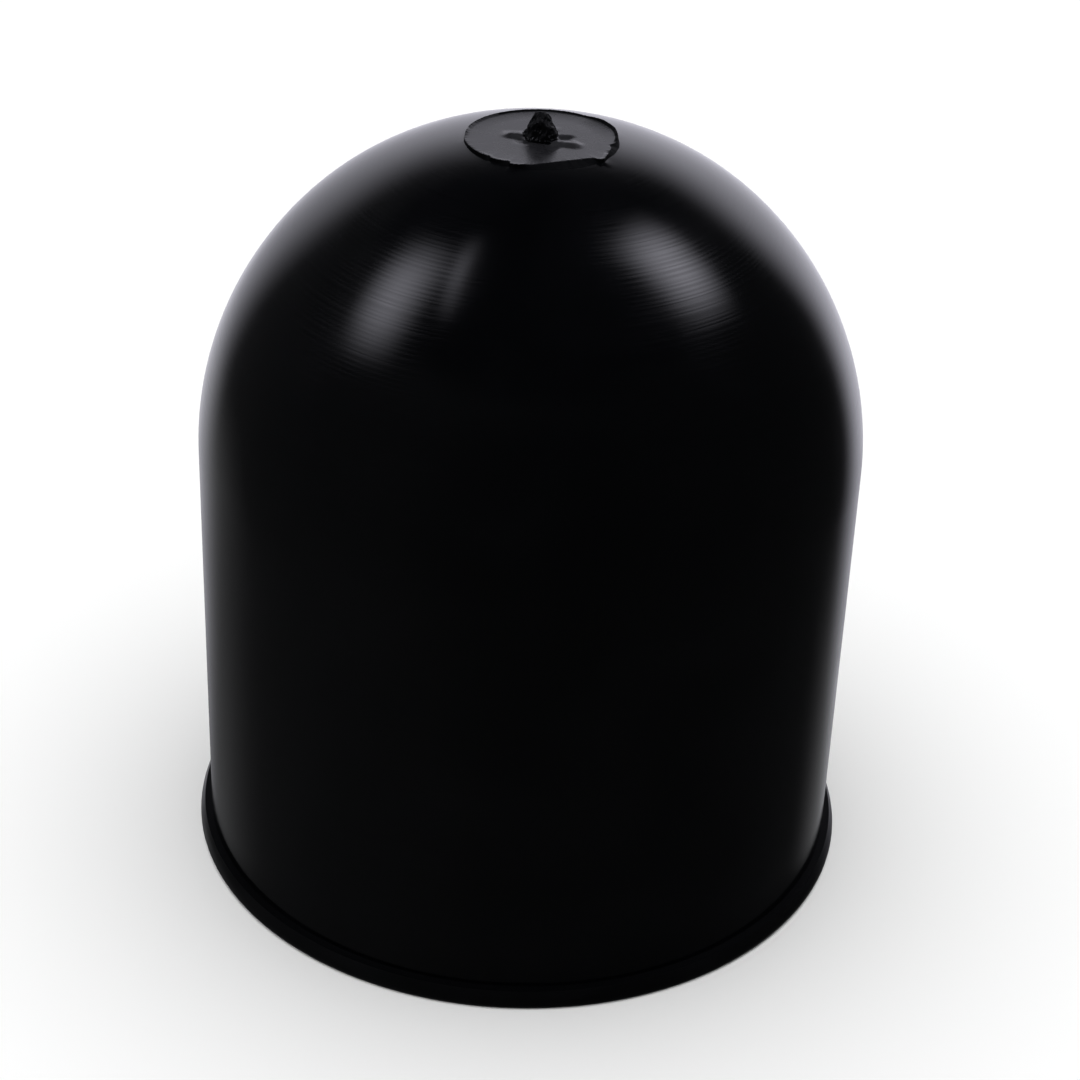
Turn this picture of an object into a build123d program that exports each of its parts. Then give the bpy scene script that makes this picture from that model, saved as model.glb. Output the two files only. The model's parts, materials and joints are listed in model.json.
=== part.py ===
"""Tow ball cover: a hollow moulded cap that drops over a towing ball.

One piece: a drafted skirt with a low flange round its open mouth, a round dome on top of it, and the gate
mark on the crown, which is a flat disc with a torn edge and the stub of the twisted-off sprue.
Millimetres, +Z up, origin on the axis in the plane of the mouth. The side with the broken edge faces -Y.
"""

import os
from math import acos, cos, degrees, radians, sin, sqrt

from build123d import *

# Fit on the ball
ball_diameter = 50.0
ball_clearance = 0.5
wall = 2.0

# Skirt under the dome: height to the dome's centre, and draft in degrees
skirt_height = 37.0
skirt_draft = 0.15

# Rim flange round the mouth: its outer face leans in by the taper at the top
rim_height = 1.6
rim_projection = 1.0
rim_taper = 0.35
rim_foot = 0.4
lead_in = 0.6

# Gate disc on the crown
disc_radius = 6.1
disc_step = 0.25
disc_root = 0.5

# Breaks in the edge of the disc: bearing in degrees, depth into the edge, width along it
edge_breaks = [(-69.0, 0.75, 5.5), (-13.0, 0.5, 2.6), (-120.0, 0.12, 0.6)]

# Torn tabs that stand out from the edge: bearing in degrees, reach past the edge, width along it
edge_tabs = [(-107.0, 0.33, 1.1), (-41.0, 0.3, 1.0), (22.0, 0.18, 1.8)]

# Flash lip that stands on the edge of the disc
flash_height = 0.3
flash_thickness = 0.35
flash_bearing = 32.0
flash_spread = 52.0

# Stub of the sprue
stub_height = 2.0
stub_radius = 1.35
stub_flare = 0.2
stub_tip_radius = 0.9

# Torn faces on the stub's round end: bearing in degrees, slope from level, depth of the tear
stub_tears = [
    (20.0, 50.0, 0.16),
    (110.0, 60.0, 0.15),
    (160.0, 32.0, 0.1),
    (200.0, 64.0, 0.14),
    (285.0, 55.0, 0.17),
    (335.0, 30.0, 0.12),
]

# Radii of the bore and the dome
bore_radius = ball_diameter / 2 + ball_clearance
dome_radius = bore_radius + wall

# Levels on the crown
disc_seat = skirt_height + sqrt(dome_radius**2 - disc_radius**2)
disc_top = disc_seat + disc_step
stub_top = disc_top + stub_height

# The stub: flared foot, tapering shank and round end, with the torn faces cut off it
with BuildPart() as sprue_stub:
    with BuildSketch(Plane.XZ):
        with BuildLine():
            end = CenterArc((0, stub_top - stub_tip_radius), stub_tip_radius, 0, 90)
            foot = Line((stub_radius + stub_flare, disc_top), (stub_radius, disc_top + stub_flare))
            Line(foot @ 1, end @ 0)
            Polyline(end @ 1, (0, disc_top - disc_root), ((foot @ 0).X, disc_top - disc_root), foot @ 0)
        make_face()
    revolve(axis=Axis.Z)
    for bearing, slope, depth in stub_tears:
        tear_direction = Vector(sin(radians(slope)), 0, cos(radians(slope))).rotate(Axis.Z, bearing)
        tear_point = Vector(0, 0, stub_top - stub_tip_radius) + tear_direction * (stub_tip_radius - depth)
        split(bisect_by=Plane(tear_point, z_dir=tear_direction), keep=Keep.BOTTOM)

with BuildPart() as cover:
    # Outside: the drafted skirt runs tangent into the dome, which is flat where the gate disc sits
    with BuildSketch(Plane.XZ):
        with BuildLine():
            crown_angle = degrees(acos(disc_radius / dome_radius))
            dome = CenterArc((0, skirt_height), dome_radius, skirt_draft, crown_angle - skirt_draft)
            skirt = PolarLine(dome @ 0, (dome @ 0).Y, skirt_draft - 90, length_mode=LengthMode.VERTICAL)
            Polyline(dome @ 1, (0, disc_seat), (0, 0), skirt @ 1)
        make_face()
    revolve(axis=Axis.Z)

    # Rim flange: eased at the foot, with an outer face that curves in to a crisp top edge
    rim_radius = (skirt @ 1).X + rim_projection
    with BuildSketch(Plane.XZ):
        with BuildLine():
            foot_ease = Line((rim_radius - rim_foot, 0), (rim_radius, rim_foot))
            face = TangentArc(foot_ease @ 1, (rim_radius - rim_taper, rim_height), tangent=(0, 1))
            Polyline(face @ 1, (bore_radius, rim_height), (bore_radius, 0), foot_ease @ 0)
        make_face()
    revolve(axis=Axis.Z)

    # Inside: a straight bore and a round seat for the ball, one wall inside the dome
    with BuildSketch(Plane.XZ):
        with BuildLine():
            seat = CenterArc((0, skirt_height), bore_radius, 0, 90)
            Polyline(seat @ 1, (0, 0), (bore_radius, 0), seat @ 0)
        make_face()
    revolve(axis=Axis.Z, mode=Mode.SUBTRACT)
    mouth_edges = cover.edges().filter_by(GeomType.CIRCLE).group_by(Axis.Z)[0]
    chamfer(mouth_edges.sort_by(SortBy.RADIUS)[0], length=lead_in)

    # Gate disc: a round plate with straight breaks and torn tabs along its edge
    with BuildSketch(Plane.XY.offset(disc_top)):
        Circle(disc_radius)
        for bearing, depth, width in edge_breaks:
            with PolarLocations(disc_radius - depth, 1, start_angle=bearing):
                Rectangle(disc_radius, width, align=(Align.MIN, Align.CENTER), mode=Mode.SUBTRACT)
        for bearing, reach, width in edge_tabs:
            with PolarLocations(disc_radius + reach, 1, start_angle=bearing):
                Rectangle(disc_radius / 2, width, align=(Align.MAX, Align.CENTER))
    extrude(amount=-(disc_step + disc_root))

    # Flash lip: a low curl along part of the disc's edge
    with BuildSketch(Plane.XY.offset(disc_top)):
        with BuildLine():
            lip_start = flash_bearing - flash_spread / 2
            lip_outside = CenterArc((0, 0), disc_radius, lip_start, flash_spread)
            lip_inside = CenterArc((0, 0), disc_radius - flash_thickness, lip_start, flash_spread)
            Line(lip_outside @ 0, lip_inside @ 0)
            Line(lip_outside @ 1, lip_inside @ 1)
        make_face()
    extrude(amount=flash_height)

    add(sprue_stub.part)

cover.part.label = "tow_ball_cover"

os.makedirs("parts", exist_ok=True)
export_step(cover.part, "parts/tow_ball_cover.step")
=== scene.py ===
"""Tow ball cover: the black vinyl cap with its torn gate mark, dressed round the CAD part, and its studio."""

import json
import math

import bmesh
import bpy
from bpy.props import FloatProperty, FloatVectorProperty, IntProperty, PointerProperty
from mathutils import Matrix, Vector


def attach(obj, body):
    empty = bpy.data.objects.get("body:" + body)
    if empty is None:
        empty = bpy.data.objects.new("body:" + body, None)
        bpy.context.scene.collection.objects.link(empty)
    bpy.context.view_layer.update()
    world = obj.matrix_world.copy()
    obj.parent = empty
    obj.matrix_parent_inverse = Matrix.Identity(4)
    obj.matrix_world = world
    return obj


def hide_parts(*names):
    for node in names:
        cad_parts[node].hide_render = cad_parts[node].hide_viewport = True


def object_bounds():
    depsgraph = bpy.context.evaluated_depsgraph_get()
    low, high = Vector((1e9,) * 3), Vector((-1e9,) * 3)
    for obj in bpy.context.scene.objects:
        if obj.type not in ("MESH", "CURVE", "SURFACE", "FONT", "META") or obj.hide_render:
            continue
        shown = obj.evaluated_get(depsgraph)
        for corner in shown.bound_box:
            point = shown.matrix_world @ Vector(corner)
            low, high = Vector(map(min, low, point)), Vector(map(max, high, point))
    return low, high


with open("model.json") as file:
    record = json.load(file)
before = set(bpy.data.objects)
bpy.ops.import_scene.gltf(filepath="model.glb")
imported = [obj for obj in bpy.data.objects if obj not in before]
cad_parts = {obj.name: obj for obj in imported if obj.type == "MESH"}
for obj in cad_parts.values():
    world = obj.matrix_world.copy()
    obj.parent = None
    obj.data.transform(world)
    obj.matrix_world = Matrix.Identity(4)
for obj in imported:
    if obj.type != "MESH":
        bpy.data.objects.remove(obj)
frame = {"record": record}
cad_low, cad_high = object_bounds()

bl_info = {
    "name": "Tow Ball Cover",
    "version": (1, 0, 0),
    "blender": (4, 5, 0),
    "location": "View3D > Sidebar > Cover",
    "description": "Models the vinyl cover of a towing ball and the studio that it is shown in",
    "category": "Add Mesh",
}

MM = 0.001
CAD_NODE = "tow_ball_cover"
PIECE = "moulded_cover"
BALL_BORE = next(m for m in frame["record"]["mounts"] if m["name"] == "ball_bore")

# What a selection works on
VERTICES, EDGES, FACES = (True, False, False), (False, True, False), (False, False, True)

# Material slots of the moulding; the first, 0, is the skin's
FLAT, MATT, TORN, INSIDE = range(1, 5)

# Steps round the axis, the same for each ring, so that rings bridge corner to corner
STEPS = 360

# Places of the straight bore's rings, as shares of the skirt's height
BORE_RINGS = (0.75, 0.5, 0.25, 0.08)

# Corners of the torn edge of the gate disc's top: bearing in degrees from +X, and radius in mm
DISC_CORNERS = [
    (-180, 6.04), (-172, 6.08), (-152, 6.01), (-136, 5.97), (-134, 5.83), (-132, 5.84), (-130, 6.01),
    (-127, 6.02), (-120, 5.93), (-117, 5.80), (-114, 5.83), (-113, 6.14), (-109, 6.16), (-105, 6.00),
    (-100, 5.84), (-43, 5.95), (-42, 6.22), (-40, 6.28), (-36, 6.10), (-30, 5.88), (-23, 5.68), (-17, 5.60),
    (-12, 5.37), (-10, 5.42), (-8, 5.54), (-4, 5.78), (5, 5.96), (20, 6.08), (40, 6.10), (60, 6.00),
    (90, 5.96), (120, 5.95), (150, 6.00), (180, 6.04),
]

# The straight break across the front of the disc: its two ends in mm from the axis, and its bearings
BREAK_ENDS = ((-0.95, -5.78), (4.25, -3.72))
BREAK_BEARINGS = (-99.5, -43.5)

# Lift of the disc's rim: first and last bearing, lift in mm and how far it fades along the rim
RIM_LIFTS = [
    (-140.0, -102.0, 0.03, 0.8),
    (-42.5, -30.0, 0.06, 0.5),
    (16.0, 44.0, 0.16, 2.4),
    (22.0, 38.0, 0.08, 1.8),
    (66.0, 172.0, 0.12, 1.5),
]

# Stretches of the rim that tore: first and last bearing, random shift in mm, seed
RIM_TEARS = [
    (-146.0, -101.0, 0.025, 3),
    (-98.0, -45.0, 0.012, 11),
    (-43.0, 60.0, 0.018, 5),
    (61.0, 180.0, 0.008, 8),
]

# How the rim rolls in to the disc's flat: scale of each ring, and the share of its lift that is kept
RIM_ROLL = ((0.993, 1.0), (0.988, 0.9), (0.977, 0.25), (0.97, 0.0))

# Rings of the disc's flat round the sprue, by radius in mm
FLAT_RINGS = (4.1, 3.8, 3.5, 3.25, 3.0, 2.8, 2.6, 2.4, 2.25, 2.1, 1.95, 1.82)

# Drag marks in the disc round the sprue: points of each mark in mm from the axis, lift and reach in mm
DRAG_MARKS = [
    ([(-1.1, 0.30), (-1.5, 0.32), (-1.9, 0.36), (-2.35, 0.40)], 0.21, 0.85),
    ([(-1.1, -0.75), (-1.6, -0.75)], -0.07, 0.8),
    ([(1.05, 0.05), (1.45, 0.02), (1.95, 0.0)], -0.19, 0.75),
    ([(1.0, -0.95), (1.45, -1.1), (1.95, -1.2), (2.35, -1.3)], 0.19, 0.8),
    ([(-0.7, -1.75), (-0.35, -1.85)], 0.09, 0.8),
    ([(0.6, -1.95), (0.9, -1.9)], -0.09, 0.7),
    ([(0.2, 1.8), (0.8, 1.9)], 0.03, 0.7),
]

# Fillet at the sprue's foot: mm out from the foot's radius, and mm above the flat
SPRUE_FILLET = ((0.36, 0.0), (0.24, 0.015), (0.14, 0.05), (0.07, 0.11), (0.03, 0.19))

# Outline of the sprue from foot to tip: shares of its radius and of its height
SPRUE_OUTLINE = (
    (1.0, 0.13), (0.985, 0.18), (0.96, 0.23), (0.93, 0.28), (0.895, 0.33), (0.86, 0.38), (0.83, 0.43),
    (0.80, 0.48), (0.775, 0.53), (0.75, 0.58), (0.72, 0.63), (0.685, 0.68), (0.64, 0.73), (0.585, 0.78),
    (0.52, 0.83), (0.44, 0.88), (0.35, 0.92), (0.25, 0.955), (0.13, 0.985), (0.0, 1.0),
)

# Torn faces of the sprue: bearing in degrees, slope from level, distance from the sprue's middle in mm
SPRUE_TEARS = [
    (205.0, 52.0, 0.86),
    (318.0, 50.0, 0.88),
    (75.0, 58.0, 0.84),
    (265.0, 24.0, 0.95),
    (20.0, 35.0, 0.92),
]

# Lumps of the torn sprue: texture, grain in mm, share of the lumps' depth, and the level that stays in place
SPRUE_LUMPS = (("VORONOI", 0.75, 1.0, 0.35), ("CLOUDS", 0.32, 0.55, 0.5), ("VORONOI", 0.22, 0.35, 0.4))

# Light cards, named as their strengths in the studio's settings: azimuth from +Y, elevation, width, height
# and lean in degrees, the soft share of the width and of the height, and the brightness of the left end
CARDS = [
    ("softbox_right", 71.2, 51.6, 30.0, 39.0, -42.0, (0.5, 0.42), 1.0),
    ("softbox_left", 268.3, 49.0, 27.0, 45.0, 36.0, (0.5, 0.45), 1.0),
    ("strip_left", 261.6, 67.4, 37.0, 6.2, -32.0, (0.5, 0.35), 1.0),
    ("backdrop", -1.0, -1.5, 104.0, 84.0, 0.0, (0.258, 0.346), 0.5),
]


def length(name, description, millimetres):
    """A size that a user can change, stored in metres."""
    return FloatProperty(
        name=name, description=description, default=millimetres * MM, unit="LENGTH", precision=5
    )


def number(name, description, default):
    """A plain number that isn't below nought."""
    return FloatProperty(name=name, description=description, default=default, min=0.0)


def share(name, description, default):
    """A number from nought to one."""
    return FloatProperty(
        name=name, description=description, default=default, min=0.0, max=1.0, subtype="FACTOR"
    )


def colour(name, description, default):
    """A colour that a user can change."""
    return FloatVectorProperty(
        name=name, description=description, default=default, size=3, subtype="COLOR", min=0.0, max=1.0
    )


def angle(name, description, degrees):
    """An angle, given here in degrees."""
    return FloatProperty(name=name, description=description, default=math.radians(degrees), subtype="ANGLE")


def rings(name, description, default):
    """A count of rings."""
    return IntProperty(name=name, description=description, default=default, min=8)


class CoverSizes(bpy.types.PropertyGroup):
    """Sizes of the moulding."""

    bore_radius: length("Bore radius", "Inside of the skirt, over the ball", BALL_BORE["dims"]["r_mm"])
    wall: length("Wall", "Thickness of the dome and of the skirt's top", 2.0)
    skirt_height: length("Skirt height", "From the mouth to the dome's centre", 37.0)
    mouth_radius: length("Mouth radius", "Outside of the skirt at the mouth, with the draft", 27.597)
    rim_radius: length("Rim radius", "Outside of the flange round the mouth", cad_high.x / MM)
    rim_height: length("Rim height", "Height of the flange", 1.6)
    rim_fall: length("Rim fall", "How far the flange's top slopes down to its edge", 0.05)
    rim_belly: length("Rim belly", "Height at which the flange is widest", 0.45)
    rim_taper: length("Rim taper", "How far the flange's outer face leans in at the top", 0.4)
    rim_foot: length("Rim foot", "How far the outer face curls under at the foot", 0.2)
    rim_root: length("Rim root", "Fillet where the flange meets the skirt", 0.02)
    lead_in: length("Lead-in", "Slope round the inside of the mouth", 0.6)
    lead_in_ease: length("Lead-in ease", "Rounding of the slope's two corners", 0.18)
    crown_sag: length("Crown sag", "How much lower than round the crown is", 0.28)
    crown_reach: length("Crown reach", "Radius at which the sag starts", 18.0)
    collar_sag: length("Collar sag", "Further sag close round the gate disc", 0.18)
    collar_reach: length("Collar reach", "Radius at which that sag starts", 10.0)
    disc_radius: length("Disc radius", "Foot of the gate disc on the crown", 6.05)
    disc_level: length("Disc level", "Height of the disc's top above the mouth", 63.79)
    disc_drop: length("Disc drop", "How far the disc's torn edge lies below its flat", 0.015)
    disc_apron: length("Disc apron", "Width of the dome's last ring, at the foot of the disc's side", 0.09)
    disc_flare: length("Disc flare", "How far the foot of the disc's side keeps outside its top edge", 0.05)
    disc_clear: length("Disc clear", "From the disc's foot to the dome's last whole ring", 0.6)
    sprue_height: length("Sprue height", "Stub above the disc", 2.06)
    sprue_radius: length("Sprue radius", "Stub at its foot", 1.19)
    sprue_lumps: length("Sprue lumps", "Roughness of the torn stub", 0.34)
    sprue_skirt: length("Sprue skirt", "How far the torn vinyl reaches past the stub's foot", 0.25)
    seat_rings: rings("Seat rings", "Rings of the round seat inside", 40)
    dome_rings: rings("Dome rings", "Rings of the dome outside", 64)


class CoverFinish(bpy.types.PropertyGroup):
    """Colours and polish of the vinyl."""

    vinyl: colour("Vinyl", "Black of the moulding", (0.0006, 0.0007, 0.0010))
    vinyl_haze: colour("Vinyl haze", "Black where hands have dulled it", (0.0013, 0.0014, 0.0019))
    satin: colour("Satin", "Grey-black of the gate disc", (0.007, 0.007, 0.0085))
    satin_worn: colour("Satin worn", "Paler drag on the gate disc", (0.016, 0.016, 0.0185))
    torn: colour("Torn", "Black of the torn vinyl", (0.0010, 0.0011, 0.0014))
    torn_pale: colour("Torn pale", "Stretched, paler spots of the torn vinyl", (0.005, 0.0054, 0.0065))
    gloss_low: share("Polish", "Roughness of the best polish", 0.145)
    gloss_high: share("Dulled", "Roughness where it is dulled", 0.20)
    line_spacing: length("Turning lines", "Distance between the mould's turning lines", 0.38)
    line_depth: length("Line depth", "Depth of the turning lines", 0.003)
    line_fade_low: length("Line fade from", "Height at which the lines start to fade", 60.3)
    line_fade_high: length("Line fade to", "Height at which the lines are gone", 62.2)


class StudioSettings(bpy.types.PropertyGroup):
    """Camera, lights and floor."""

    lens: number("Lens", "Focal length on a 36 mm sensor, in mm", 80.72)
    camera_back: length("Camera back", "Camera's distance in front of the axis", 178.42)
    camera_height: length("Camera height", "Camera's height above the floor", 132.62)
    camera_pitch: angle("Camera pitch", "Downward tilt", 30.526)
    camera_yaw: angle("Camera yaw", "Turn to the right", 0.352)
    camera_roll: angle("Camera roll", "Roll of the frame", 2.320)
    floor: colour("Floor", "Pale floor", (0.93, 0.93, 0.93))
    floor_width: length("Floor width", "Each way", 6000.0)
    floor_gap: length("Floor gap", "Floor's distance under the cover", 0.05)
    glow: colour("Glow", "Colour of the light cards", (0.90, 0.89, 1.0))
    card_distance: length("Card distance", "Distance of the light cards", 800.0)
    softbox_left: number("Left softbox", "Radiance of the left softbox", 3.1)
    softbox_right: number("Right softbox", "Radiance of the right softbox", 3.8)
    strip_left: number("Left strip", "Radiance of the left strip", 1.6)
    backdrop: number("Backdrop", "Radiance of the backdrop", 0.98)
    fill_power: number("Fill", "Power of the overhead fill, in watts", 98.0)
    fill_height: length("Fill height", "Height of the overhead fill", 2200.0)
    fill_width: length("Fill width", "Diameter of the overhead fill", 4000.0)


def work_on(kind):
    """Sets what a selection works on: vertices, edges or faces."""
    bpy.context.tool_settings.mesh_select_mode = kind


def pick(piece, test):
    """Selects the vertices that pass a test on their place, and no others."""
    bpy.ops.mesh.select_all(action="DESELECT")
    mesh = bmesh.from_edit_mesh(piece.data)
    for vertex in mesh.verts:
        vertex.select = not vertex.hide and test(vertex.co)
    mesh.select_flush_mode()
    bmesh.update_edit_mesh(piece.data)
    if not any(vertex.select for vertex in mesh.verts):
        raise RuntimeError(f"nothing to select on {piece.name}")


def pick_faces(piece, test):
    """Selects the faces whose middle and normal pass a test, and no others."""
    bpy.ops.mesh.select_all(action="DESELECT")
    mesh = bmesh.from_edit_mesh(piece.data)
    for face in mesh.faces:
        if test(face.calc_center_median(), face.normal):
            face.select_set(True)
    bmesh.update_edit_mesh(piece.data)


def pick_border(piece, test):
    """Selects the open border's edges whose ends pass a test, and no others."""
    bpy.ops.mesh.select_all(action="DESELECT")
    mesh = bmesh.from_edit_mesh(piece.data)
    for edge in mesh.edges:
        if edge.is_boundary and test(edge.verts[0].co) and test(edge.verts[1].co):
            edge.select_set(True)
    bmesh.update_edit_mesh(piece.data)


def pull(shift, reach):
    """Moves the selection and draws what lies within reach along with it."""
    bpy.ops.transform.translate(
        value=shift, use_proportional_edit=True, proportional_edit_falloff="SMOOTH", proportional_size=reach
    )


def stretch(scale, turned, centre):
    """Scales the selection along turned axes."""
    bpy.ops.transform.resize(
        value=scale,
        orient_type="GLOBAL",
        orient_matrix=turned,
        orient_matrix_type="GLOBAL",
        center_override=centre,
    )


def bearing(place):
    """Bearing of a place round the axis, in degrees from +X."""
    return math.degrees(math.atan2(place.y, place.x))


def start_piece(name):
    """Leaves everything unselected and starts a mesh with one vertex on the axis, in edit mode."""
    bpy.ops.object.select_all(action="DESELECT")
    bpy.ops.mesh.primitive_plane_add(size=MM, enter_editmode=True, location=(0, 0, 0))
    piece = bpy.context.object
    piece.name = piece.data.name = name
    bpy.ops.mesh.merge(type="CENTER")
    return piece


def spin_profile(name, profile):
    """Draws a profile of (radius, height) points from vertex to vertex and spins it round the axis."""
    piece = start_piece(name)
    bpy.ops.transform.translate(value=(profile[0][0], 0, profile[0][1]))
    for (r0, z0), (r1, z1) in zip(profile, profile[1:]):
        bpy.ops.mesh.extrude_vertices_move(TRANSFORM_OT_translate={"value": (r1 - r0, 0, z1 - z0)})
    bpy.ops.mesh.select_all(action="SELECT")
    bpy.ops.mesh.spin(steps=STEPS, angle=math.tau, center=(0, 0, 0), axis=(0, 0, 1))
    bpy.ops.mesh.select_all(action="SELECT")
    bpy.ops.mesh.remove_doubles(threshold=MM / 1000)
    return piece


def arc(centre, radius, first, last, count):
    """Points of an arc, from one angle to another in degrees."""
    points = []
    for k in range(count + 1):
        t = math.radians(first + (last - first) * k / count)
        points.append((centre[0] + radius * math.cos(t), centre[1] + radius * math.sin(t)))
    return points


def dome_height(size, radius):
    """Height of the dome's outside at a radius: round, with the crown a little low."""
    dome_radius = size.bore_radius + size.wall
    sag = size.crown_sag * max(0.0, 1 - (radius / size.crown_reach) ** 2) ** 2
    sag += size.collar_sag * max(0.0, 1 - (radius / size.collar_reach) ** 2) ** 2
    return size.skirt_height + math.sqrt(dome_radius**2 - radius**2) - sag


def mouth_profile(size):
    """The lead-in with its corners eased, the flat that the cover stands on, and the flange's outer face."""
    soft, lead_in = size.lead_in_ease, size.lead_in
    bore, slope_end = size.bore_radius, size.bore_radius + size.lead_in
    points = [(bore, lead_in + soft), (bore + soft * 0.25, lead_in + soft * 0.1)]
    points += [(bore + soft * 0.7, lead_in - soft * 0.5), (slope_end - soft * 0.5, soft * 0.7)]
    points += [(slope_end, soft * 0.25), (slope_end + soft, 0), (size.mouth_radius - 0.2 * MM, 0)]
    foot_rings, face_rings = 8, 6
    for k in range(foot_rings, 0, -1):
        part = k / foot_rings
        points.append((size.rim_radius - size.rim_foot * part**2, size.rim_belly * (1 - part)))
    upper = size.rim_height - size.rim_fall - size.rim_belly
    for k in range(face_rings + 1):
        part = k / face_rings
        points.append((size.rim_radius - size.rim_taper * part**2, size.rim_belly + upper * part))
    return points


def shell_profile(size):
    """The shell from the middle of the seat inside, round the mouth, and up to the disc's surround."""
    bore, root, skirt = size.bore_radius, size.rim_root, size.skirt_height
    dome_radius = bore + size.wall
    points = arc((0, skirt), bore, 90, 0, size.seat_rings)
    points += [(bore, skirt * part) for part in BORE_RINGS]
    points += mouth_profile(size)

    # Up the drafted skirt from the root of the flange, and over the dome
    draft = (size.mouth_radius - dome_radius) / skirt
    foot = size.rim_height + root
    points += arc((size.mouth_radius - draft * foot + root, foot), root, -100, -180, 5)
    skirt_rings = 12
    for k in range(1, skirt_rings + 1):
        height = foot + (skirt - foot) * k / skirt_rings
        points.append((size.mouth_radius - draft * height, height))
    last = math.degrees(math.acos((size.disc_radius + size.disc_clear) / dome_radius))
    for k in range(1, size.dome_rings + 1):
        radius = dome_radius * math.cos(math.radians(last * k / size.dome_rings))
        points.append((radius, dome_height(size, radius)))
    return points


def crown_profile(size):
    """The middle of the disc and the sprue, from the disc's flat to the sprue's tip."""
    level, foot = size.disc_level, size.sprue_radius
    points = [(radius * MM, level) for radius in FLAT_RINGS]
    points += [(foot + out * MM, level + up * MM) for out, up in SPRUE_FILLET]
    points += [(foot * wide, level + size.sprue_height * high) for wide, high in SPRUE_OUTLINE]
    return points


def disc_edge_radius(degrees):
    """Radius of the disc's top edge at a bearing, from its torn corners and the straight break, in metres."""
    if BREAK_BEARINGS[0] < degrees < BREAK_BEARINGS[1]:
        (x0, y0), (x1, y1) = BREAK_ENDS
        turn = math.radians(degrees)
        return MM * (x0 * y1 - x1 * y0) / (math.cos(turn) * (y1 - y0) - math.sin(turn) * (x1 - x0))
    for (first, radius), (last, next_radius) in zip(DISC_CORNERS, DISC_CORNERS[1:]):
        if first <= degrees <= last:
            return MM * (radius + (next_radius - radius) * (degrees - first) / (last - first))
    raise RuntimeError(f"the disc has no edge at {degrees} degrees")


def draw_ring(edge, radius_at):
    """Draws each vertex of the ring in view in or out to its radius, which depends on the bearing."""
    for degrees in range(-179, 181):
        pick(edge, lambda place: abs((bearing(place) - degrees + 180) % 360 - 180) < 0.4)
        place = next(vertex.co for vertex in bmesh.from_edit_mesh(edge.data).verts if vertex.select)
        grow = radius_at(degrees) / place.xy.length
        bpy.ops.transform.resize(value=(grow, grow, 1), center_override=(0, 0, place.z))


def extrude_ring(edge, lift):
    """Extrudes the ring in view upwards and hides the rest, so that only the new ring is worked on."""
    bpy.ops.mesh.select_all(action="SELECT")
    bpy.ops.mesh.extrude_region_move(TRANSFORM_OT_translate={"value": (0, 0, lift)})
    bpy.ops.mesh.hide(unselected=True)


def make_disc_edge(size):
    """The disc's torn edge: rings drawn to its foot and its top edge, extruded one from the other."""
    top = size.disc_level - size.disc_drop
    dome = dome_height(size, size.disc_radius + size.disc_apron)
    foot = dome_height(size, size.disc_radius)
    bpy.ops.object.select_all(action="DESELECT")
    bpy.ops.mesh.primitive_circle_add(
        vertices=STEPS, radius=size.disc_radius, fill_type="NOTHING", enter_editmode=True, location=(0, 0, 0)
    )
    edge = bpy.context.object
    edge.name = edge.data.name = "disc_edge"
    bpy.ops.transform.translate(value=(0, 0, dome))

    def foot_radius(degrees):
        return max(size.disc_radius, disc_edge_radius(degrees) + size.disc_flare)

    # A last ring of the dome, the foot of the side, and the torn side up to the top edge
    half_way = 0.55
    draw_ring(edge, lambda degrees: foot_radius(degrees) + size.disc_apron)
    extrude_ring(edge, foot - dome)
    draw_ring(edge, foot_radius)
    extrude_ring(edge, (top - foot) * half_way)
    draw_ring(edge, lambda turn: foot_radius(turn) * half_way + disc_edge_radius(turn) * (1 - half_way))
    bpy.ops.mesh.select_all(action="SELECT")
    bpy.ops.transform.vertex_random(offset=0.02 * MM, uniform=0.5, normal=0.0, seed=2)
    extrude_ring(edge, (top - foot) * (1 - half_way))
    draw_ring(edge, disc_edge_radius)

    # The top edge is torn and lifted, then goes in over the rim to the flat
    for first, last, shift, seed in RIM_TEARS:
        pick(edge, lambda place: first <= bearing(place) <= last)
        bpy.ops.transform.vertex_random(offset=shift * MM, uniform=0.5, normal=0.0, seed=seed)
    for first, last, lift, fade in RIM_LIFTS:
        pick(edge, lambda place: first <= bearing(place) <= last)
        pull((0, 0, lift * MM), fade * MM)
    rise = size.disc_drop
    for grow, kept in RIM_ROLL:
        extrude_ring(edge, rise)
        bpy.ops.transform.resize(value=(grow, grow, kept), center_override=(0, 0, size.disc_level))
        rise = 0.0
    bpy.ops.mesh.reveal(select=False)
    bpy.ops.object.mode_set(mode="OBJECT")
    return edge


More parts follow.
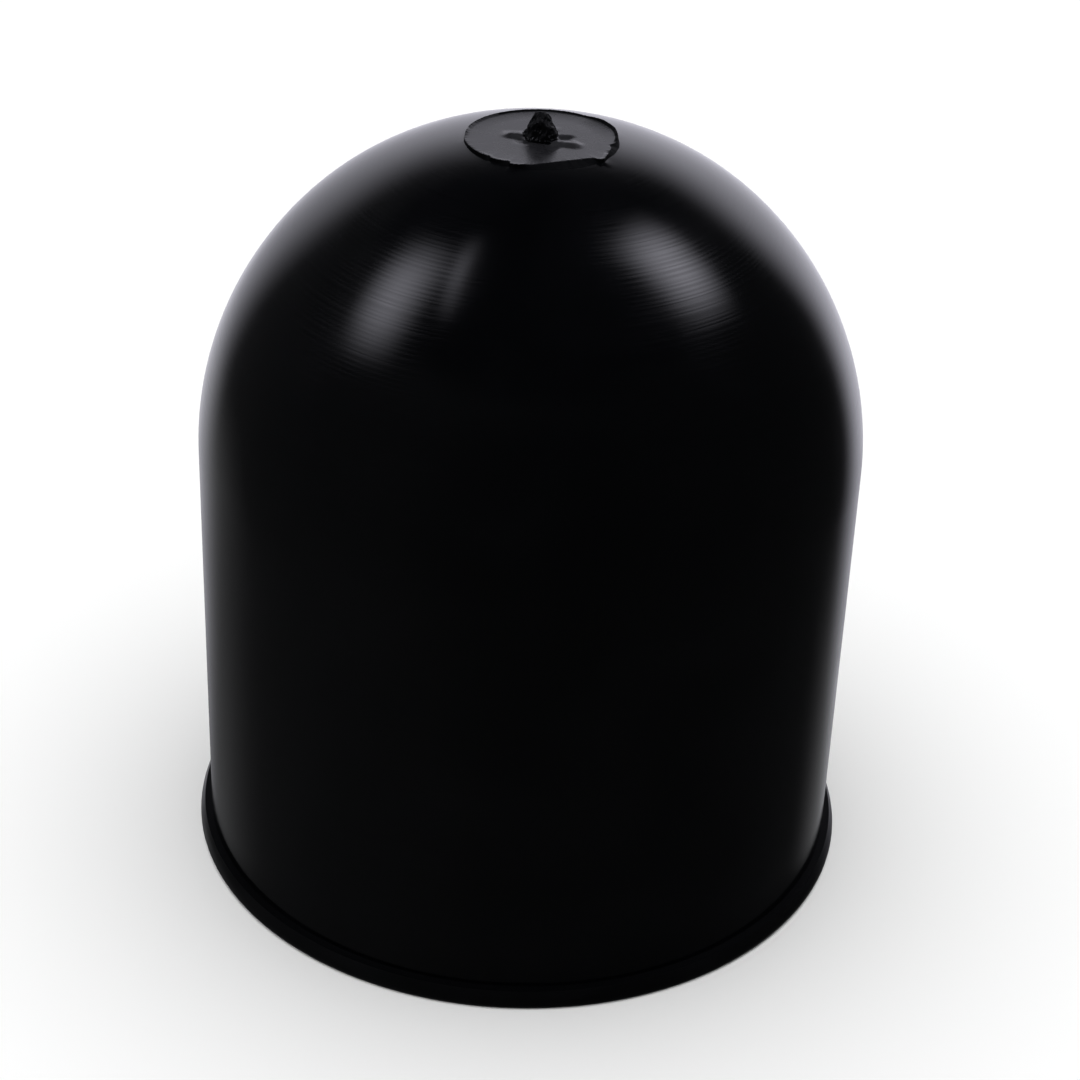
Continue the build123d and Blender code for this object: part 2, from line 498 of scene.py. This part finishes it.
def make_crown_middle(size):
    """The disc's middle with its drag marks, and the torn stub of the sprue."""
    middle = spin_profile("disc_middle", crown_profile(size))
    level, near = size.disc_level, 0.13 * MM

    def marked(spots):
        return lambda place: place.z < level + 0.2 * MM and any((place.xy - s).length < near for s in spots)

    for points, lift, reach in DRAG_MARKS:
        pick(middle, marked([Vector((x * MM, y * MM)) for x, y in points]))
        pull((0, 0, lift * MM), reach * MM)

    # The torn faces: what stands beyond each is pressed on it
    heart = Vector((0, 0, level + size.sprue_height * 0.5))
    for turn, slope, depth in SPRUE_TEARS:
        out = Vector((math.sin(math.radians(slope)), 0, math.cos(math.radians(slope))))
        out.rotate(Matrix.Rotation(math.radians(turn), 3, "Z"))
        along = out.orthogonal().normalized()
        point = heart + out * depth * MM
        pick(middle, lambda place: place.z > level + 0.25 * MM and (place - point).dot(out) > 0)
        stretch((1, 1, 0.2), Matrix((along, out.cross(along), out)).transposed(), point)

    # The stub leans a little to the front left
    pick(middle, lambda place: place.z > level + 0.3 * MM)
    pull((-0.10 * MM, -0.2 * MM, 0), 0.8 * MM)

    # Lumps of the tear
    torn_reach = size.sprue_radius + size.sprue_skirt
    pick(middle, lambda place: place.z > level + 0.16 * MM and place.xy.length < torn_reach)
    middle.vertex_groups.new(name="sprue")
    bpy.ops.object.vertex_group_assign()
    bpy.ops.object.mode_set(mode="OBJECT")
    for kind, grain, depth, still in SPRUE_LUMPS:
        lumps = bpy.data.textures.new("sprue_lumps", kind)
        lumps.noise_scale = grain * MM
        press = middle.modifiers.new("lumps", "DISPLACE")
        press.texture = lumps
        press.texture_coords = "LOCAL"
        press.vertex_group = "sprue"
        press.strength = size.sprue_lumps * depth
        press.mid_level = still
        bpy.ops.object.modifier_apply(modifier=press.name)
    middle.vertex_groups.clear()
    return middle


def join_rings(size, shell, edge, middle):
    """Joins the three meshes into one and bridges the open rings, so that the moulding is closed."""
    # The disc's parts are held apart in height for the bridges, then let down again
    raised = ((middle, 10 * MM), (edge, 5 * MM))
    for part, lift in raised:
        bpy.ops.object.select_all(action="DESELECT")
        part.select_set(True)
        bpy.ops.transform.translate(value=(0, 0, lift))
    for part in (edge, middle, shell):
        part.select_set(True)
    bpy.context.view_layer.objects.active = shell
    bpy.ops.object.join()
    bpy.ops.object.mode_set(mode="EDIT")
    work_on(EDGES)
    split = size.disc_level - 0.1 * MM + raised[1][1]
    pick_border(shell, lambda place: place.z < split)
    bpy.ops.mesh.bridge_edge_loops()
    pick_border(shell, lambda place: place.z > split)
    bpy.ops.mesh.bridge_edge_loops()
    work_on(VERTICES)
    for part, lift in raised:
        pick(shell, lambda place: place.z > size.disc_level + lift - 1.5 * MM)
        bpy.ops.transform.translate(value=(0, 0, -lift))
    bpy.ops.mesh.select_all(action="SELECT")
    bpy.ops.mesh.normals_make_consistent(inside=False)
    open_edges = [e for e in bmesh.from_edit_mesh(shell.data).edges if not e.is_manifold]
    if open_edges:
        raise RuntimeError(f"the moulding isn't closed: {len(open_edges)} open edges")
    bpy.ops.object.mode_set(mode="OBJECT")


def new_node(tree, kind, values=None, **settings):
    """Adds a shader node, with its settings and the values of its input sockets."""
    node = tree.nodes.new(kind)
    for name, value in settings.items():
        setattr(node, name, value)
    for socket, value in (values or {}).items():
        if isinstance(value, bpy.types.NodeSocket):
            tree.links.new(value, node.inputs[socket])
        else:
            node.inputs[socket].default_value = value
    return node


def maths(tree, operation, *values):
    """A Math node on numbers or sockets; gives its output socket."""
    return new_node(tree, "ShaderNodeMath", dict(enumerate(values)), operation=operation).outputs[0]


def total(tree, first, *others):
    """The sum of sockets and numbers."""
    for other in others:
        first = maths(tree, "ADD", first, other)
    return first


def product(tree, first, *others):
    """The product of sockets and numbers."""
    for other in others:
        first = maths(tree, "MULTIPLY", first, other)
    return first


def spread(tree, value, first=0.0, last=1.0, low=0.0, high=1.0, smooth=False):
    """Maps a value between two ends on to a range, maybe with a soft start and stop."""
    ends = {"Value": value, "From Min": first, "From Max": last, "To Min": low, "To Max": high}
    kind = "SMOOTHSTEP" if smooth else "LINEAR"
    return new_node(tree, "ShaderNodeMapRange", ends, interpolation_type=kind).outputs["Result"]


def noise(tree, place, scale, detail, **values):
    """A noise texture's value at a place."""
    values = {"Vector": place, "Scale": scale, "Detail": detail, **values}
    return new_node(tree, "ShaderNodeTexNoise", values).outputs["Fac"]


def split_axes(tree, place):
    """The three parts of a place or a direction."""
    return new_node(tree, "ShaderNodeSeparateXYZ", {0: place}).outputs


def new_group(name, inputs, outputs):
    """Starts a shader node group that reads a place; gives the tree, its inputs and its output node."""
    tree = bpy.data.node_groups.new(name, "ShaderNodeTree")
    tree.interface.new_socket("Place", in_out="INPUT", socket_type="NodeSocketVector")
    for socket, default in inputs:
        made = tree.interface.new_socket(socket, in_out="INPUT", socket_type="NodeSocketFloat")
        made.default_value = default
    for socket in outputs:
        tree.interface.new_socket(socket, in_out="OUTPUT", socket_type="NodeSocketFloat")
    return tree, tree.nodes.new("NodeGroupInput").outputs, tree.nodes.new("NodeGroupOutput")


def turning_lines_group(size):
    """Fine rings that the turned mould leaves round the axis, broken up here and there."""
    inputs = [("Spacing", 0.4 * MM), ("Breaks", 0.5)]
    tree, given, result = new_group("turning_lines", inputs, ["Lines"])
    place = given["Place"]

    # The run along the outside from the crown, swaying a little, counted in lines
    x, y, z = split_axes(tree, place)
    across = maths(tree, "SQRT", total(tree, maths(tree, "POWER", x, 2.0), maths(tree, "POWER", y, 2.0)))
    above = maths(tree, "SUBTRACT", z, size.skirt_height)
    round_dome = maths(tree, "ARCTAN2", across, maths(tree, "MAXIMUM", above, 0.0))
    down = product(tree, maths(tree, "MINIMUM", above, 0.0), -1.0)
    sway = product(tree, noise(tree, place, 60.0, 1.0), 0.4 * MM)
    run = total(tree, product(tree, round_dome, size.bore_radius + size.wall), down, sway)
    turns = maths(tree, "DIVIDE", run, given["Spacing"])

    # Lines of uneven pitch and strength, left out in patches
    along = {"W": turns, "Scale": 0.45, "Detail": 2.0}
    waver = new_node(tree, "ShaderNodeTexNoise", along, noise_dimensions="1D").outputs["Fac"]
    phase = total(tree, turns, product(tree, waver, 1.6))
    waves = maths(tree, "SINE", product(tree, phase, math.tau))
    least = maths(tree, "SUBTRACT", 1.0, given["Breaks"])
    kept = spread(tree, noise(tree, place, 260.0, 2.0), 0.35, 0.65, least, 1.0, smooth=True)
    strength = 0.45
    tree.links.new(product(tree, waves, waver, strength, kept), result.inputs["Lines"])
    return tree


def smudges_group():
    """Soft patches where the polish is dulled, with finer mottling in them."""
    tree, given, result = new_group("smudges", [("Size", 12 * MM)], ["Dull", "Mottle"])
    scale = maths(tree, "DIVIDE", 1.0, given["Size"])
    broad = noise(tree, given["Place"], scale, 4.0, Roughness=0.55, Distortion=0.6)
    fine = noise(tree, given["Place"], product(tree, scale, 7.0), 5.0, Roughness=0.62)
    tree.links.new(spread(tree, broad, 0.38, 0.68, smooth=True), result.inputs["Dull"])
    tree.links.new(fine, result.inputs["Mottle"])
    return tree


def torn_grain_group():
    """The pitted, stringy grain of torn vinyl."""
    tree, given, result = new_group("torn_grain", [("Size", 0.2 * MM)], ["Grain", "Pale"])
    scale = maths(tree, "DIVIDE", 1.0, given["Size"])
    cells = {"Vector": given["Place"], "Scale": scale}
    pits = new_node(tree, "ShaderNodeTexVoronoi", cells, feature="SMOOTH_F1").outputs["Distance"]
    strings = noise(tree, given["Place"], scale, 4.0, Roughness=0.65)
    grain = total(tree, product(tree, pits, 0.6), product(tree, strings, 0.6))
    tree.links.new(grain, result.inputs["Grain"])
    tree.links.new(spread(tree, strings, 0.56, 0.74, smooth=True), result.inputs["Pale"])
    return tree


def start_material(name):
    """A new material with its Principled shader and the object's own coordinates."""
    material = bpy.data.materials.new(name)
    material.use_nodes = True
    tree = material.node_tree
    shader = tree.nodes["Principled BSDF"]
    shader.inputs["IOR"].default_value = 1.5
    place = tree.nodes.new("ShaderNodeTexCoord").outputs["Object"]
    return material, tree, shader, place


def place_group(tree, group, **values):
    """Places a node group in a material, with its own values, and gives its outputs."""
    return new_node(tree, "ShaderNodeGroup", values, node_tree=group).outputs


def tint(tree, shader, amount, first, second):
    """Feeds a mix of two colours, by a mask, to the shader."""
    colours = {"Factor": amount, "A": (*first, 1.0), "B": (*second, 1.0)}
    mix = new_node(tree, "ShaderNodeMix", colours, data_type="RGBA")
    tree.links.new(mix.outputs["Result"], shader.inputs["Base Color"])


def add_bump(tree, shader, height, depth):
    """Feeds a height to the shader's normal; the depth is in metres."""
    bump = new_node(tree, "ShaderNodeBump", {"Height": height, "Strength": 1.0, "Distance": depth})
    tree.links.new(bump.outputs["Normal"], shader.inputs["Normal"])


def gloss_vinyl(finish, groups):
    """The moulded skin: satin gloss with turning lines and faint dull patches."""
    material, tree, shader, place = start_material("gloss_vinyl")
    lines = place_group(tree, groups["lines"], Place=place, Spacing=finish.line_spacing, Breaks=0.7)["Lines"]
    smudges = place_group(tree, groups["smudges"], Place=place, Size=13 * MM)
    dull = total(tree, product(tree, smudges["Dull"], 0.7), product(tree, smudges["Mottle"], 0.3))
    tint(tree, shader, dull, finish.vinyl, finish.vinyl_haze)
    rough = spread(tree, dull, low=finish.gloss_low, high=finish.gloss_high)
    tree.links.new(total(tree, rough, product(tree, lines, 0.12)), shader.inputs["Roughness"])
    shader.inputs["Specular IOR Level"].default_value = 0.40
    shader.inputs["Coat Roughness"].default_value = finish.gloss_low

    # The lines gleam where the skin faces the eye, and their relief fades out towards the gate disc
    facing = new_node(tree, "ShaderNodeLayerWeight", {"Blend": 0.5}).outputs["Facing"]
    gleam = product(tree, lines, spread(tree, facing, 0.3, 0.55, 0.95, 0.0))
    tree.links.new(total(tree, gleam, 0.20), shader.inputs["Coat Weight"])
    height = split_axes(tree, place)[2]
    relief = product(tree, lines, spread(tree, height, finish.line_fade_low, finish.line_fade_high, 1.0, 0.0))
    mottle = product(tree, maths(tree, "SUBTRACT", smudges["Mottle"], 0.5), 0.2)
    add_bump(tree, shader, total(tree, relief, mottle), finish.line_depth)
    return material


def satin_vinyl(finish, groups):
    """The gate disc's flat: sheared, finely grained and paler."""
    material, tree, shader, place = start_material("satin_vinyl")
    smudges = place_group(tree, groups["smudges"], Place=place, Size=1.6 * MM)
    grain = place_group(tree, groups["torn"], Place=place, Size=0.12 * MM)
    worn = total(tree, product(tree, smudges["Dull"], 0.6), product(tree, smudges["Mottle"], 0.4))
    tint(tree, shader, worn, finish.satin, finish.satin_worn)
    tree.links.new(spread(tree, worn, low=0.25, high=0.33), shader.inputs["Roughness"])
    add_bump(tree, shader, total(tree, grain["Grain"], smudges["Mottle"]), 0.003 * MM)
    return material


def grained_vinyl(name, finish, groups, grain_size, rough, sheen, depth):
    """Torn or unpolished vinyl: rough and dark, with a grain and paler stretched spots."""
    material, tree, shader, place = start_material(name)
    grain = place_group(tree, groups["torn"], Place=place, Size=grain_size)
    tint(tree, shader, grain["Pale"], finish.torn, finish.torn_pale)
    tree.links.new(spread(tree, grain["Grain"], low=rough[0], high=rough[1]), shader.inputs["Roughness"])
    shader.inputs["Specular IOR Level"].default_value = sheen
    add_bump(tree, shader, grain["Grain"], depth)
    return material


def matt_vinyl(finish, groups):
    """The torn edge of the gate disc and the top of the flange: matt and black, with a short grain."""
    return grained_vinyl("matt_vinyl", finish, groups, 0.12 * MM, (0.45, 0.65), 0.06, 0.02 * MM)


def torn_vinyl(finish, groups):
    """The torn sprue: a coarser grain with a little sheen."""
    return grained_vinyl("torn_vinyl", finish, groups, 0.22 * MM, (0.38, 0.60), 0.3, 0.05 * MM)


def bore_vinyl(finish, groups):
    """The inside and the face of the flange: the same vinyl off a plainer mould, a little duller."""
    material, tree, shader, place = start_material("bore_vinyl")
    spacing = finish.line_spacing * 1.6
    lines = place_group(tree, groups["lines"], Place=place, Spacing=spacing, Breaks=0.4)["Lines"]
    dull = place_group(tree, groups["smudges"], Place=place, Size=9 * MM)["Dull"]
    tint(tree, shader, dull, finish.vinyl, finish.vinyl_haze)
    rough = spread(tree, dull, low=0.3, high=0.4)
    tree.links.new(total(tree, rough, product(tree, lines, 0.1)), shader.inputs["Roughness"])
    add_bump(tree, shader, lines, finish.line_depth)
    return material


def assign_finishes(piece, size, materials):
    """Gives the skin, the disc's flat, the torn faces, the flange and the inside their materials."""
    for material in materials:
        piece.data.materials.append(material)
    level, foot = size.disc_level, dome_height(size, size.disc_radius)
    centre = Vector((0, 0, size.skirt_height))
    bore = size.bore_radius + 0.02 * MM
    disc_reach = size.disc_radius * 1.06
    marked_flat = 4.8 * MM

    def in_bore(middle, normal):
        if middle.z < centre.z:
            return middle.xy.length < bore
        return (middle - centre).length < bore

    def on_top(middle):
        out = middle.xy.length
        return out < disc_reach and middle.z > level - (0.3 if out < marked_flat else 0.045) * MM

    def on_lip(middle):
        turn = bearing(middle)
        start = 0.966 if turn < 128 else 0.985
        return -3 < turn < 165 and middle.xy.length > start * disc_edge_radius(turn)

    def on_disc(middle, normal):
        return on_top(middle) and normal.z > 0.8 and not on_lip(middle)

    def on_edge(middle, normal):
        side = foot + 0.02 * MM < middle.z and marked_flat < middle.xy.length < disc_reach
        return side and not on_disc(middle, normal)

    def on_rim_top(middle, normal):
        low, high = size.rim_height - size.rim_fall - 0.02 * MM, size.rim_height + 0.03 * MM
        outside = middle.xy.length > size.mouth_radius - 0.05 * MM
        return low < middle.z < high and normal.z > 0.7 and outside

    def on_rim_face(middle, normal):
        outside = middle.xy.length > size.mouth_radius + 0.1 * MM
        return middle.z < size.rim_height and normal.z < 0.7 and outside

    def on_sprue(middle, normal):
        return middle.xy.length < size.sprue_radius + size.sprue_skirt and middle.z > level + 0.1 * MM

    bpy.ops.object.mode_set(mode="EDIT")
    work_on(FACES)
    regions = [(FLAT, on_disc), (MATT, on_edge), (MATT, on_rim_top), (TORN, on_sprue)]
    regions += [(INSIDE, in_bore), (INSIDE, on_rim_face)]
    for slot, test in regions:
        pick_faces(piece, test)
        piece.active_material_index = slot
        bpy.ops.object.material_slot_assign()
    work_on(VERTICES)
    bpy.ops.mesh.select_all(action="DESELECT")
    bpy.ops.object.mode_set(mode="OBJECT")


class COVER_OT_mould(bpy.types.Operator):
    """Models the cover as one moulding with its torn gate mark, and gives it its finishes"""

    bl_idname = "cover.mould"
    bl_label = "Mould Cover"

    def execute(self, context):
        size, finish = context.scene.cover_sizes, context.scene.cover_finish
        work_on(VERTICES)
        edge = make_disc_edge(size)
        middle = make_crown_middle(size)
        cover = spin_profile(PIECE, shell_profile(size))
        bpy.ops.object.mode_set(mode="OBJECT")
        join_rings(size, cover, edge, middle)
        groups = {"lines": turning_lines_group(size), "smudges": smudges_group(), "torn": torn_grain_group()}
        makers = (gloss_vinyl, satin_vinyl, matt_vinyl, torn_vinyl, bore_vinyl)
        assign_finishes(cover, size, [make(finish, groups) for make in makers])
        bpy.ops.object.shade_smooth_by_angle(angle=math.radians(32))
        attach(cover, "root")
        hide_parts(CAD_NODE)
        return {"FINISHED"}


def direction(azimuth, elevation):
    """Unit vector of a bearing from +Y towards +X and a height above the horizon, in degrees."""
    a, e = math.radians(azimuth), math.radians(elevation)
    return Vector((math.sin(a) * math.cos(e), math.cos(a) * math.cos(e), math.sin(e)))


def light_card(studio, name, azimuth, elevation, wide, tall, lean, feather, left):
    """A glowing card that faces the cover, soft at its edges; only reflections see it."""
    target = Vector((0, 0, (cad_low.z + cad_high.z) / 2))
    towards, distance = direction(azimuth, elevation), studio.card_distance
    turn = towards.to_track_quat("Z", "Y").to_matrix().to_4x4() @ Matrix.Rotation(math.radians(lean), 4, "Z")
    reach = [2 * distance * math.tan(math.radians(extent) / 2) for extent in (wide, tall)]
    bpy.ops.object.select_all(action="DESELECT")
    bpy.ops.mesh.primitive_plane_add(
        size=1.0, location=target + towards * distance, rotation=turn.to_euler(), scale=(1, 1, 1)
    )
    card = bpy.context.object
    card.name = name
    stretch((*reach, 1), turn.to_3x3(), card.location)
    material = bpy.data.materials.new(name)
    material.use_nodes = True
    tree = material.node_tree
    tree.nodes.clear()
    along, up, _ = split_axes(tree, tree.nodes.new("ShaderNodeTexCoord").outputs["Object"])
    fades = []
    for part, soft in zip((along, up), feather):
        inset = maths(tree, "SUBTRACT", 0.5, maths(tree, "ABSOLUTE", part))
        fades.append(spread(tree, inset, 0.0, soft, smooth=True))
    strength = getattr(studio, name)
    shade = spread(tree, along, -0.05, 0.35, strength, strength * left)
    glow = product(tree, *fades, shade)
    emission = new_node(tree, "ShaderNodeEmission", {"Color": (*studio.glow, 1.0), "Strength": glow})
    clear = tree.nodes.new("ShaderNodeBsdfTransparent")
    both = new_node(tree, "ShaderNodeAddShader", {0: emission.outputs[0], 1: clear.outputs[0]})
    surface = tree.nodes.new("ShaderNodeOutputMaterial")
    tree.links.new(both.outputs[0], surface.inputs["Surface"])
    card.data.materials.append(material)
    card.visible_camera = card.visible_diffuse = card.visible_shadow = False


def make_world():
    """White to the camera; to the cover a dark room, with a table a little lighter low behind."""
    world = bpy.data.worlds.new("studio_room")
    bpy.context.scene.world = world
    world.use_nodes = True
    tree = world.node_tree
    tree.nodes.clear()
    across, back, up = split_axes(tree, tree.nodes.new("ShaderNodeTexCoord").outputs["Generated"])
    turn = maths(tree, "ARCTAN2", across, back)

    def ramp(value, first, last, low=0.0, high=1.0):
        return spread(tree, value, first, last, low, high, smooth=True)

    def sweep(first, last):
        return ramp(turn, math.radians(first), math.radians(last))

    # Dim walls all round, brightest at the left; then the pale table behind, seen low at both sides
    walls = product(
        tree, ramp(up, 0.74, 0.60), ramp(across, -0.7, 0.6, 0.036, 0.016), ramp(back, -0.65, -0.95, 1.0, 0.55)
    )
    left = product(
        tree, sweep(-76, -38), sweep(20, -5), ramp(up, -0.14, -0.37), ramp(up, -0.42, -0.54, 0.19, 0.08)
    )
    right = product(tree, sweep(58, 22), sweep(-10, 10), ramp(up, -0.48, -0.56, 0.0, 0.22))
    low = product(tree, sweep(85, 40), sweep(0, 20), ramp(up, -0.62, -0.70, 0.0, 0.15))
    table = product(tree, total(tree, left, right, low), ramp(up, -0.72, -0.84, 1.0, 0.0))
    least = 0.003
    room = total(tree, walls, least, table)
    dark = new_node(tree, "ShaderNodeBackground", {"Color": (0.96, 0.97, 1.0, 1.0), "Strength": room})
    white = new_node(tree, "ShaderNodeBackground", {"Color": (1, 1, 1, 1), "Strength": 1.0})
    seen = tree.nodes.new("ShaderNodeLightPath").outputs["Is Camera Ray"]
    mix = new_node(tree, "ShaderNodeMixShader", {0: seen, 1: dark.outputs[0], 2: white.outputs[0]})
    surface = tree.nodes.new("ShaderNodeOutputWorld")
    tree.links.new(mix.outputs[0], surface.inputs["Surface"])


def make_floor(studio):
    """A wide pale floor that the cover's sides don't mirror, and that can be seen through from below."""
    bpy.ops.object.select_all(action="DESELECT")
    bpy.ops.mesh.primitive_plane_add(size=studio.floor_width, location=(0, 0, cad_low.z - studio.floor_gap))
    floor = bpy.context.object
    floor.name = "pale_floor"
    material = bpy.data.materials.new("pale_floor")
    material.use_nodes = True
    tree = material.node_tree
    shader = tree.nodes["Principled BSDF"]
    shader.inputs["Base Color"].default_value = (*studio.floor, 1.0)
    shader.inputs["Roughness"].default_value = 0.9
    shader.inputs["Specular IOR Level"].default_value = 0.0
    clear = tree.nodes.new("ShaderNodeBsdfTransparent")
    below = tree.nodes.new("ShaderNodeNewGeometry").outputs["Backfacing"]
    mix = new_node(tree, "ShaderNodeMixShader", {0: below, 1: shader.outputs[0], 2: clear.outputs[0]})
    tree.links.new(mix.outputs[0], tree.nodes["Material Output"].inputs["Surface"])
    floor.data.materials.append(material)
    floor.visible_glossy = False


def make_fill(studio):
    """A wide overhead light for the floor and the matt part of the cover; its own reflection is left out."""
    bpy.ops.object.select_all(action="DESELECT")
    bpy.ops.object.light_add(type="AREA", location=(0, 0, studio.fill_height))
    fill = bpy.context.object
    fill.name = "overhead_fill"
    fill.data.shape = "DISK"
    fill.data.size = studio.fill_width
    fill.data.energy = studio.fill_power
    fill.visible_glossy = False
    fill.visible_camera = False


def make_camera(studio):
    """The camera at the viewing angle of the photograph."""
    pitch, yaw, roll = studio.camera_pitch, studio.camera_yaw, studio.camera_roll
    ahead = Vector((math.sin(yaw) * math.cos(pitch), math.cos(yaw) * math.cos(pitch), -math.sin(pitch)))
    level = Vector((math.cos(yaw), -math.sin(yaw), 0))
    upright = level.cross(ahead)
    right = level * math.cos(roll) + upright * math.sin(roll)
    up = upright * math.cos(roll) - level * math.sin(roll)
    turned = Matrix((right, up, -ahead)).transposed()
    place = (0, -studio.camera_back, studio.camera_height)
    bpy.ops.object.select_all(action="DESELECT")
    bpy.ops.object.camera_add(location=place, rotation=turned.to_euler())
    camera = bpy.context.object
    camera.data.lens = studio.lens
    camera.data.sensor_width = 36.0
    camera.data.clip_start, camera.data.clip_end = 0.005, 20.0
    bpy.context.scene.camera = camera


class COVER_OT_studio(bpy.types.Operator):
    """Sets the floor, the soft lights and the camera round the cover"""

    bl_idname = "cover.studio"
    bl_label = "Set Up Studio"

    def execute(self, context):
        studio = context.scene.cover_studio
        view = context.scene.view_settings
        view.view_transform, view.look, view.exposure, view.gamma = "Standard", "None", 0.0, 1.0
        make_world()
        make_floor(studio)
        make_fill(studio)
        for card in CARDS:
            light_card(studio, *card)
        make_camera(studio)
        return {"FINISHED"}


class COVER_PT_sidebar(bpy.types.Panel):
    """The cover's steps and sizes"""

    bl_label = "Tow Ball Cover"
    bl_space_type = "VIEW_3D"
    bl_region_type = "UI"
    bl_category = "Cover"

    def draw(self, context):
        for operator in (COVER_OT_mould, COVER_OT_studio):
            self.layout.operator(operator.bl_idname)
        for group in (context.scene.cover_sizes, context.scene.cover_finish, context.scene.cover_studio):
            box = self.layout.box()
            for name in group.bl_rna.properties.keys():
                if name not in ("rna_type", "name"):
                    box.prop(group, name)


CLASSES = (CoverSizes, CoverFinish, StudioSettings, COVER_OT_mould, COVER_OT_studio, COVER_PT_sidebar)


def register():
    for kind in CLASSES:
        bpy.utils.register_class(kind)
    bpy.types.Scene.cover_sizes = PointerProperty(type=CoverSizes)
    bpy.types.Scene.cover_finish = PointerProperty(type=CoverFinish)
    bpy.types.Scene.cover_studio = PointerProperty(type=StudioSettings)


def unregister():
    for name in ("cover_studio", "cover_finish", "cover_sizes"):
        delattr(bpy.types.Scene, name)
    for kind in reversed(CLASSES):
        bpy.utils.unregister_class(kind)


def main():
    register()
    bpy.ops.cover.mould()
    bpy.ops.cover.studio()


if __name__ == "__main__":
    main()
